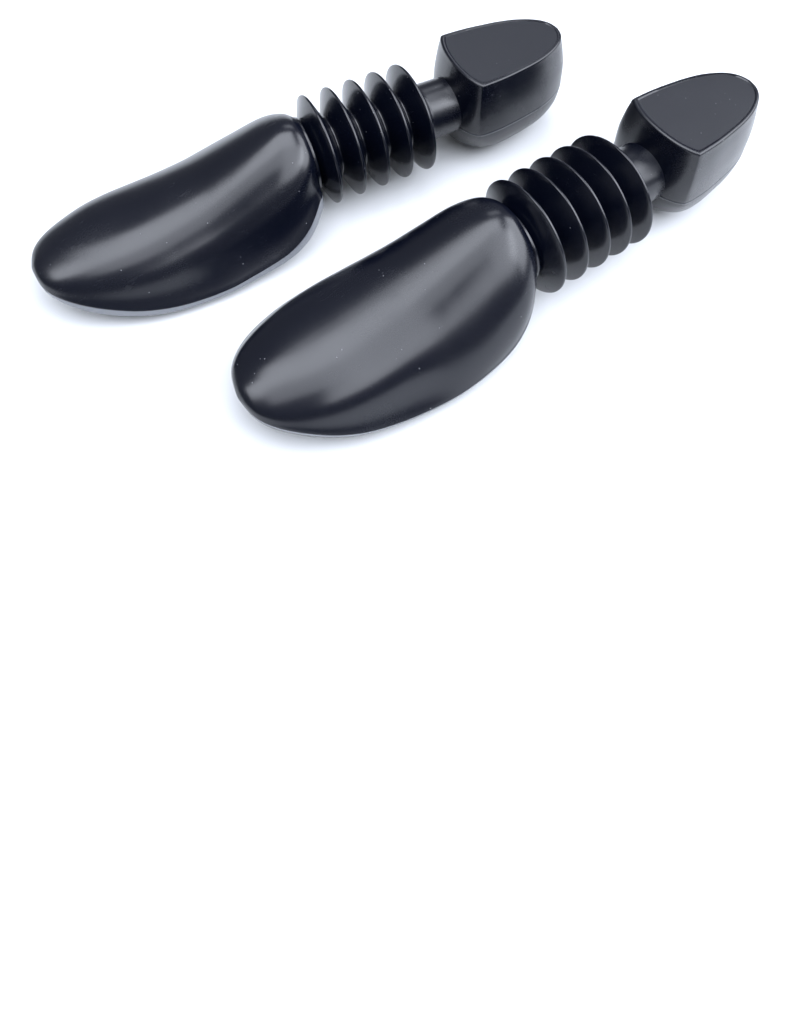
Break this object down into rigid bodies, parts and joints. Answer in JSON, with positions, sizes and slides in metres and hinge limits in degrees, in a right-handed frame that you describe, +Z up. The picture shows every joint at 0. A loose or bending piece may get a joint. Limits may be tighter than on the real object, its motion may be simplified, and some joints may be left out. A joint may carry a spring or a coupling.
{
  "type": "shoe stretcher pair",
  "caption": "Moulded plastic shoe stretchers for both feet: a hollow toe form, a springy bellows that stretches and bends, a round neck and a flat-topped heel block.",
  "frame": {"origin": "centre of the pair's bounding box, on the floor that both stretchers lie on", "axes": "+X from toe to heel along the left stretcher, +Y towards the right stretcher, +Z up"},
  "size_m": [0.2962, 0.1603, 0.052],
  "materials": {
    "moulded_plastic": "satin blue-black moulded polyethylene with soft highlights and faint scuffs"
  },
  "bodies": {
    "left_toe": {"left_toe_upper": "moulded_plastic", "left_toe_sole": "moulded_plastic", "left_collar": "moulded_plastic"},
    "left_fold_1": {"left_crest_1": "moulded_plastic"},
    "left_valley_1": {"left_root_1": "moulded_plastic"},
    "left_fold_2": {"left_crest_2": "moulded_plastic"},
    "left_valley_2": {"left_root_2": "moulded_plastic"},
    "left_fold_3": {"left_crest_3": "moulded_plastic"},
    "left_valley_3": {"left_root_3": "moulded_plastic"},
    "left_fold_4": {"left_crest_4": "moulded_plastic"},
    "left_valley_4": {"left_root_4": "moulded_plastic"},
    "left_fold_5": {"left_crest_5": "moulded_plastic"},
    "left_heel": {"left_neck": "moulded_plastic", "left_heel_upper": "moulded_plastic", "left_heel_lower": "moulded_plastic"},
    "right_toe": {"right_toe_upper": "moulded_plastic", "right_toe_sole": "moulded_plastic", "right_collar": "moulded_plastic"},
    "right_fold_1": {"right_crest_1": "moulded_plastic"},
    "right_valley_1": {"right_root_1": "moulded_plastic"},
    "right_fold_2": {"right_crest_2": "moulded_plastic"},
    "right_valley_2": {"right_root_2": "moulded_plastic"},
    "right_fold_3": {"right_crest_3": "moulded_plastic"},
    "right_valley_3": {"right_root_3": "moulded_plastic"},
    "right_fold_4": {"right_crest_4": "moulded_plastic"},
    "right_valley_4": {"right_root_4": "moulded_plastic"},
    "right_fold_5": {"right_crest_5": "moulded_plastic"},
    "right_heel": {"right_neck": "moulded_plastic", "right_heel_upper": "moulded_plastic", "right_heel_lower": "moulded_plastic"}
  },
  "joints": [
    {"name": "left_swing_1", "type": "hinge", "parent": "left_toe", "child": "left_fold_1", "pos_m": [0.023, -0.0463, 0.027], "axis": [0, 0, 1], "range_deg": [-6, 6], "stiffness_Nm_per_rad": 2},
    {"name": "left_bend_1", "type": "hinge", "parent": "left_fold_1", "child": "left_valley_1", "pos_m": [0.0286, -0.0463, 0.027], "axis": [0, 1, 0], "range_deg": [-4.5, 4.5], "stiffness_Nm_per_rad": 2},
    {"name": "left_stretch_1", "type": "slide", "parent": "left_valley_1", "child": "left_fold_2", "axis": [1, 0, 0], "range_m": [-0.003, 0.0035], "stiffness_N_per_m": 4000},
    {"name": "left_bend_2", "type": "hinge", "parent": "left_fold_2", "child": "left_valley_2", "pos_m": [0.0398, -0.0463, 0.027], "axis": [0, 1, 0], "range_deg": [-4.5, 4.5], "stiffness_Nm_per_rad": 2},
    {"name": "left_stretch_2", "type": "slide", "parent": "left_valley_2", "child": "left_fold_3", "axis": [1, 0, 0], "range_m": [-0.003, 0.0035], "stiffness_N_per_m": 4000},
    {"name": "left_bend_3", "type": "hinge", "parent": "left_fold_3", "child": "left_valley_3", "pos_m": [0.051, -0.0463, 0.027], "axis": [0, 1, 0], "range_deg": [-4.5, 4.5], "stiffness_Nm_per_rad": 2},
    {"name": "left_stretch_3", "type": "slide", "parent": "left_valley_3", "child": "left_fold_4", "axis": [1, 0, 0], "range_m": [-0.003, 0.0035], "stiffness_N_per_m": 4000},
    {"name": "left_bend_4", "type": "hinge", "parent": "left_fold_4", "child": "left_valley_4", "pos_m": [0.0622, -0.0463, 0.027], "axis": [0, 1, 0], "range_deg": [-4.5, 4.5], "stiffness_Nm_per_rad": 2},
    {"name": "left_stretch_4", "type": "slide", "parent": "left_valley_4", "child": "left_fold_5", "axis": [1, 0, 0], "range_m": [-0.003, 0.0035], "stiffness_N_per_m": 4000},
    {"name": "left_swing_2", "type": "hinge", "parent": "left_fold_5", "child": "left_heel", "pos_m": [0.0678, -0.0463, 0.027], "axis": [0, 0, 1], "range_deg": [-6, 6], "stiffness_Nm_per_rad": 2},
    {"name": "right_swing_1", "type": "hinge", "parent": "right_toe", "child": "right_fold_1", "pos_m": [-0.02305, 0.03976, 0.027], "axis": [0, 0, 1], "range_deg": [-6, 6], "stiffness_Nm_per_rad": 2},
    {"name": "right_bend_1", "type": "hinge", "parent": "right_fold_1", "child": "right_valley_1", "pos_m": [-0.01749, 0.03912, 0.027], "axis": [0.1142, 0.9935, 0], "range_deg": [-4.5, 4.5], "stiffness_Nm_per_rad": 2},
    {"name": "right_stretch_1", "type": "slide", "parent": "right_valley_1", "child": "right_fold_2", "axis": [0.9935, -0.1142, 0], "range_m": [-0.003, 0.0035], "stiffness_N_per_m": 4000},
    {"name": "right_bend_2", "type": "hinge", "parent": "right_fold_2", "child": "right_valley_2", "pos_m": [-0.00636, 0.03784, 0.027], "axis": [0.1142, 0.9935, 0], "range_deg": [-4.5, 4.5], "stiffness_Nm_per_rad": 2},
    {"name": "right_stretch_2", "type": "slide", "parent": "right_valley_2", "child": "right_fold_3", "axis": [0.9935, -0.1142, 0], "range_m": [-0.003, 0.0035], "stiffness_N_per_m": 4000},
    {"name": "right_bend_3", "type": "hinge", "parent": "right_fold_3", "child": "right_valley_3", "pos_m": [0.00476, 0.03656, 0.027], "axis": [0.1142, 0.9935, 0], "range_deg": [-4.5, 4.5], "stiffness_Nm_per_rad": 2},
    {"name": "right_stretch_3", "type": "slide", "parent": "right_valley_3", "child": "right_fold_4", "axis": [0.9935, -0.1142, 0], "range_m": [-0.003, 0.0035], "stiffness_N_per_m": 4000},
    {"name": "right_bend_4", "type": "hinge", "parent": "right_fold_4", "child": "right_valley_4", "pos_m": [0.01589, 0.03528, 0.027], "axis": [0.1142, 0.9935, 0], "range_deg": [-4.5, 4.5], "stiffness_Nm_per_rad": 2},
    {"name": "right_stretch_4", "type": "slide", "parent": "right_valley_4", "child": "right_fold_5", "axis": [0.9935, -0.1142, 0], "range_m": [-0.003, 0.0035], "stiffness_N_per_m": 4000},
    {"name": "right_swing_2", "type": "hinge", "parent": "right_fold_5", "child": "right_heel", "pos_m": [0.02145, 0.03464, 0.027], "axis": [0, 0, 1], "range_deg": [-6, 6], "stiffness_Nm_per_rad": 2},
    {"name": "right_lift", "type": "slide", "parent": "left_toe", "child": "right_toe", "axis": [0, 0, 1], "range_m": [0, 0.12]}
  ],
  "couplings": [
    {"joint": "left_bend_2", "follows": "left_bend_1", "ratio": 1},
    {"joint": "left_stretch_2", "follows": "left_stretch_1", "ratio": 1},
    {"joint": "left_bend_3", "follows": "left_bend_1", "ratio": 1},
    {"joint": "left_stretch_3", "follows": "left_stretch_1", "ratio": 1},
    {"joint": "left_bend_4", "follows": "left_bend_1", "ratio": 1},
    {"joint": "left_stretch_4", "follows": "left_stretch_1", "ratio": 1},
    {"joint": "left_swing_2", "follows": "left_swing_1", "ratio": 1},
    {"joint": "right_bend_2", "follows": "right_bend_1", "ratio": 1},
    {"joint": "right_stretch_2", "follows": "right_stretch_1", "ratio": 1},
    {"joint": "right_bend_3", "follows": "right_bend_1", "ratio": 1},
    {"joint": "right_stretch_3", "follows": "right_stretch_1", "ratio": 1},
    {"joint": "right_bend_4", "follows": "right_bend_1", "ratio": 1},
    {"joint": "right_stretch_4", "follows": "right_stretch_1", "ratio": 1},
    {"joint": "right_swing_2", "follows": "right_swing_1", "ratio": 1}
  ]
}
